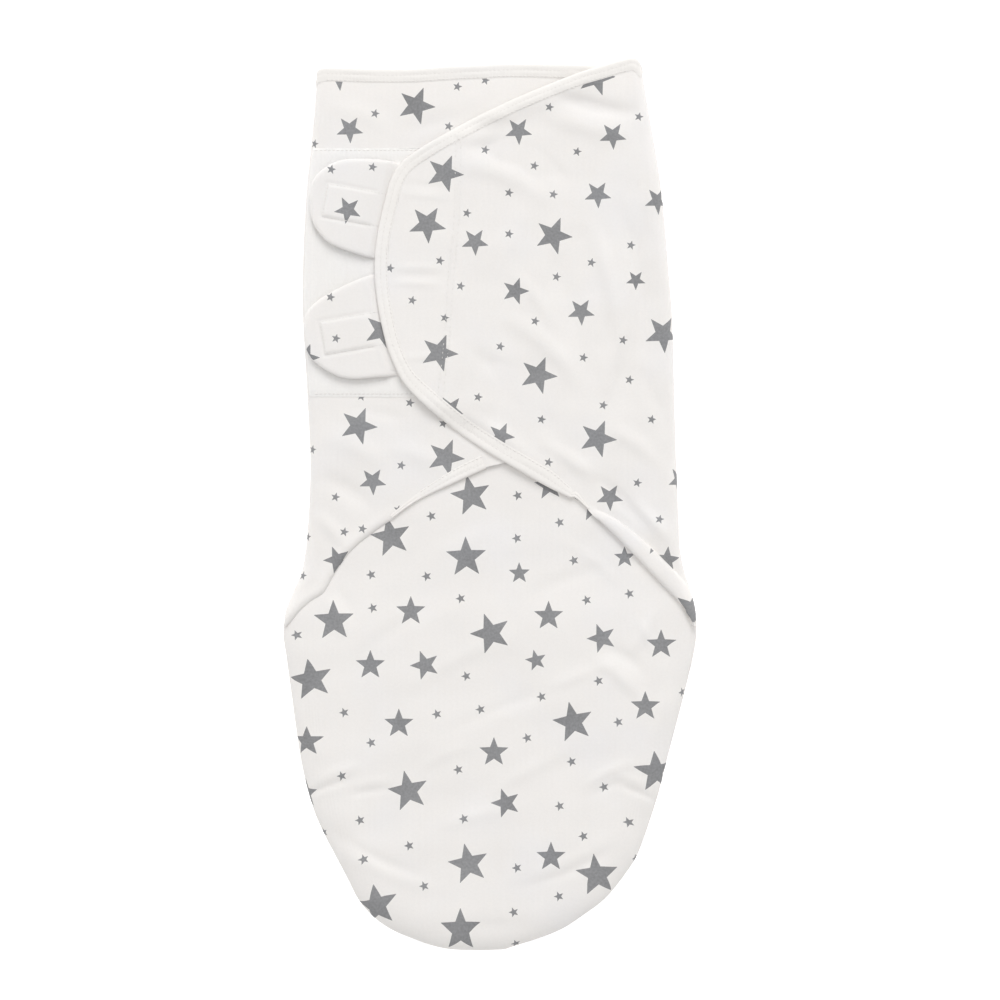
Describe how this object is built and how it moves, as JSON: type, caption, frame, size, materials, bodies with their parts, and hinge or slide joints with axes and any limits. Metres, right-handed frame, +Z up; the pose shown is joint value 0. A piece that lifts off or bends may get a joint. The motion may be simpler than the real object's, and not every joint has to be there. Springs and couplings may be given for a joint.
{
  "type": "baby sleeping bag",
  "caption": "Wrap-style baby sleeping bag with a closed foot pouch and overlapping wings held by hook-and-loop tabs.",
  "frame": {"origin": "on the floor under the middle of the bag as it lies closed on its back", "axes": "+X to the right seen from above, +Y from the foot to the head, +Z up through the closed wings"},
  "size_m": [0.2598, 0.5596, 0.0191],
  "materials": {
    "star_jersey": "matte single jersey with a grey star print",
    "binding_jersey": "matte rib-knit binding with a double stitch line",
    "plain_jersey": "matte unprinted jersey",
    "loop_fabric": "brushed loop fabric with fine vertical ribs",
    "hook_tape": "white nylon hook tape",
    "seam_thread": "overlocked polyester thread"
  },
  "bodies": {
    "back": {"back_panel": "star_jersey", "back_neck_binding": "binding_jersey", "pouch_front_panel": "star_jersey", "pouch_mouth_binding": "binding_jersey", "pouch_seam": "seam_thread"},
    "left_wing": {"left_wing_panel": "star_jersey", "left_wing_neck_binding": "binding_jersey", "left_wing_edge_binding": "binding_jersey", "loop_landing_panel": "loop_fabric"},
    "right_wing": {"right_wing_panel": "star_jersey", "right_wing_binding": "binding_jersey", "tab_backing_panel": "plain_jersey", "upper_tab_anchor": "star_jersey", "lower_tab_anchor": "star_jersey"},
    "upper_tab": {"upper_tab_outer": "star_jersey", "upper_tab_lining": "plain_jersey", "upper_tab_hook": "hook_tape"},
    "lower_tab": {"lower_tab_outer": "star_jersey", "lower_tab_lining": "plain_jersey", "lower_tab_hook": "hook_tape"}
  },
  "joints": [
    {"name": "right_wing_fold", "type": "hinge", "parent": "back", "child": "right_wing", "pos_m": [0.1148, 0.12, 0.0114], "axis": [-0.0382, 0.9993, 0], "range_deg": [0, 180]},
    {"name": "left_wing_fold", "type": "hinge", "parent": "back", "child": "left_wing", "pos_m": [-0.1183, 0.11, 0.00765], "axis": [0, -1, 0], "range_deg": [0, 180]},
    {"name": "upper_tab_peel", "type": "hinge", "parent": "right_wing", "child": "upper_tab", "pos_m": [-0.0695, 0.18575, 0.0185], "axis": [0.2153, 0.9765, 0], "range_deg": [0, 180]},
    {"name": "lower_tab_peel", "type": "hinge", "parent": "right_wing", "child": "lower_tab", "pos_m": [-0.07015, 0.1135, 0.0185], "axis": [-0.1887, 0.982, 0], "range_deg": [0, 180]}
  ],
  "couplings": [
    {"joint": "left_wing_fold", "follows": "right_wing_fold", "ratio": 1}
  ]
}
